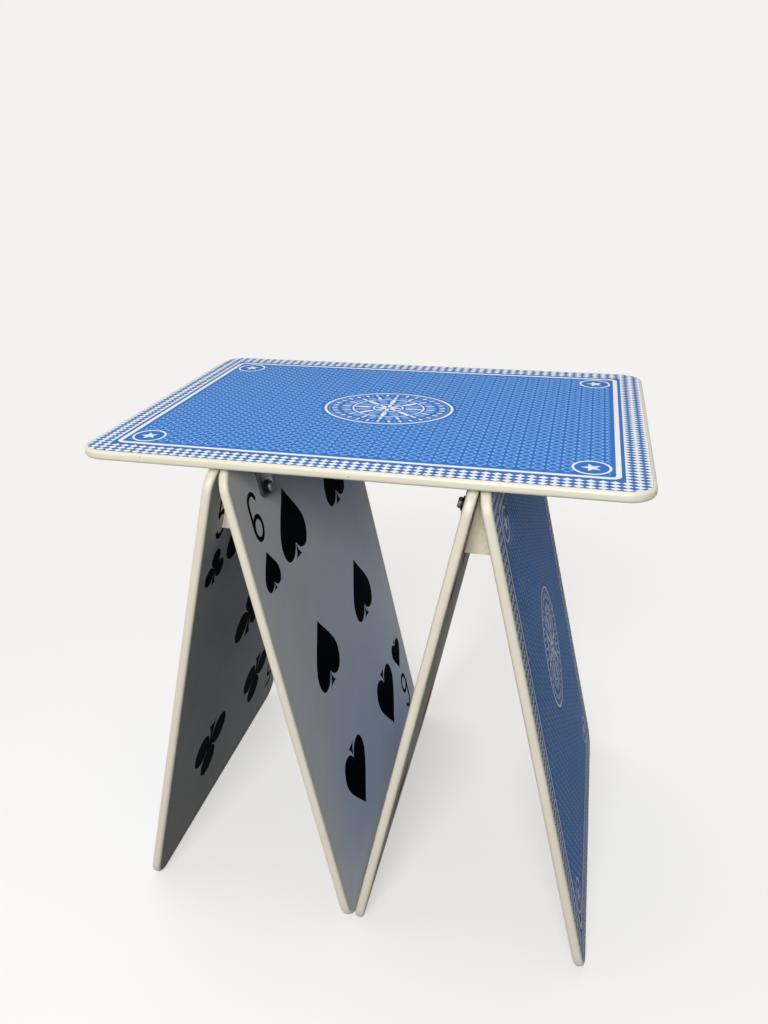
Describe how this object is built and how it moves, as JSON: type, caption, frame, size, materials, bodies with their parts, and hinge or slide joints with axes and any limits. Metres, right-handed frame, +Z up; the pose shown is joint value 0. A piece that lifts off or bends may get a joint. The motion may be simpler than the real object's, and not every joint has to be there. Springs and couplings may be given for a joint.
{
  "type": "card table",
  "caption": "Small side table built like a house of playing cards: two leaning pairs of giant cards with rounded edges carry a card laid flat as the top.",
  "frame": {"origin": "on the floor, under the middle of the top", "axes": "+X along the long side of the top and across the two leaning pairs, +Y along the short side of the top and the width of the legs, +Z up"},
  "size_m": [0.5, 0.36, 0.4983],
  "materials": {
    "ivory_paint": "fibreboard with satin ivory paint",
    "blue_print": "glossy laminate printed as the blue back of a playing card",
    "white_print": "glossy laminate printed as the face of a playing card",
    "zinc_steel": "zinc plated, slightly dulled",
    "black_steel": "black oxide",
    "brass": "plain turned brass"
  },
  "bodies": {
    "root": {"top_board": "ivory_paint", "top_back_print": "blue_print", "top_face_print": "white_print", "outer_left_board": "ivory_paint", "outer_left_back_print": "blue_print", "outer_left_face_print": "white_print", "inner_left_board": "ivory_paint", "inner_left_back_print": "blue_print", "inner_left_face_print": "white_print", "inner_right_board": "ivory_paint", "inner_right_back_print": "blue_print", "inner_right_face_print": "white_print", "outer_right_board": "ivory_paint", "outer_right_back_print": "blue_print", "outer_right_face_print": "white_print", "left_wedge_rail": "ivory_paint", "right_wedge_rail": "ivory_paint", "front_left_bracket": "zinc_steel", "front_left_bolt": "zinc_steel", "front_left_washer": "zinc_steel", "front_left_threaded_insert": "brass", "front_left_inner_bracket_screw": "zinc_steel", "front_left_outer_bracket_screw": "zinc_steel", "front_left_leg_screw": "black_steel", "front_right_bracket": "zinc_steel", "front_right_bolt": "zinc_steel", "front_right_washer": "zinc_steel", "front_right_threaded_insert": "brass", "front_right_inner_bracket_screw": "zinc_steel", "front_right_outer_bracket_screw": "zinc_steel", "front_right_leg_screw": "black_steel", "rear_left_bracket": "zinc_steel", "rear_left_bolt": "zinc_steel", "rear_left_washer": "zinc_steel", "rear_left_threaded_insert": "brass", "rear_left_inner_bracket_screw": "zinc_steel", "rear_left_outer_bracket_screw": "zinc_steel", "rear_left_leg_screw": "black_steel", "rear_right_bracket": "zinc_steel", "rear_right_bolt": "zinc_steel", "rear_right_washer": "zinc_steel", "rear_right_threaded_insert": "brass", "rear_right_inner_bracket_screw": "zinc_steel", "rear_right_outer_bracket_screw": "zinc_steel", "rear_right_leg_screw": "black_steel"}
  },
  "joints": []
}
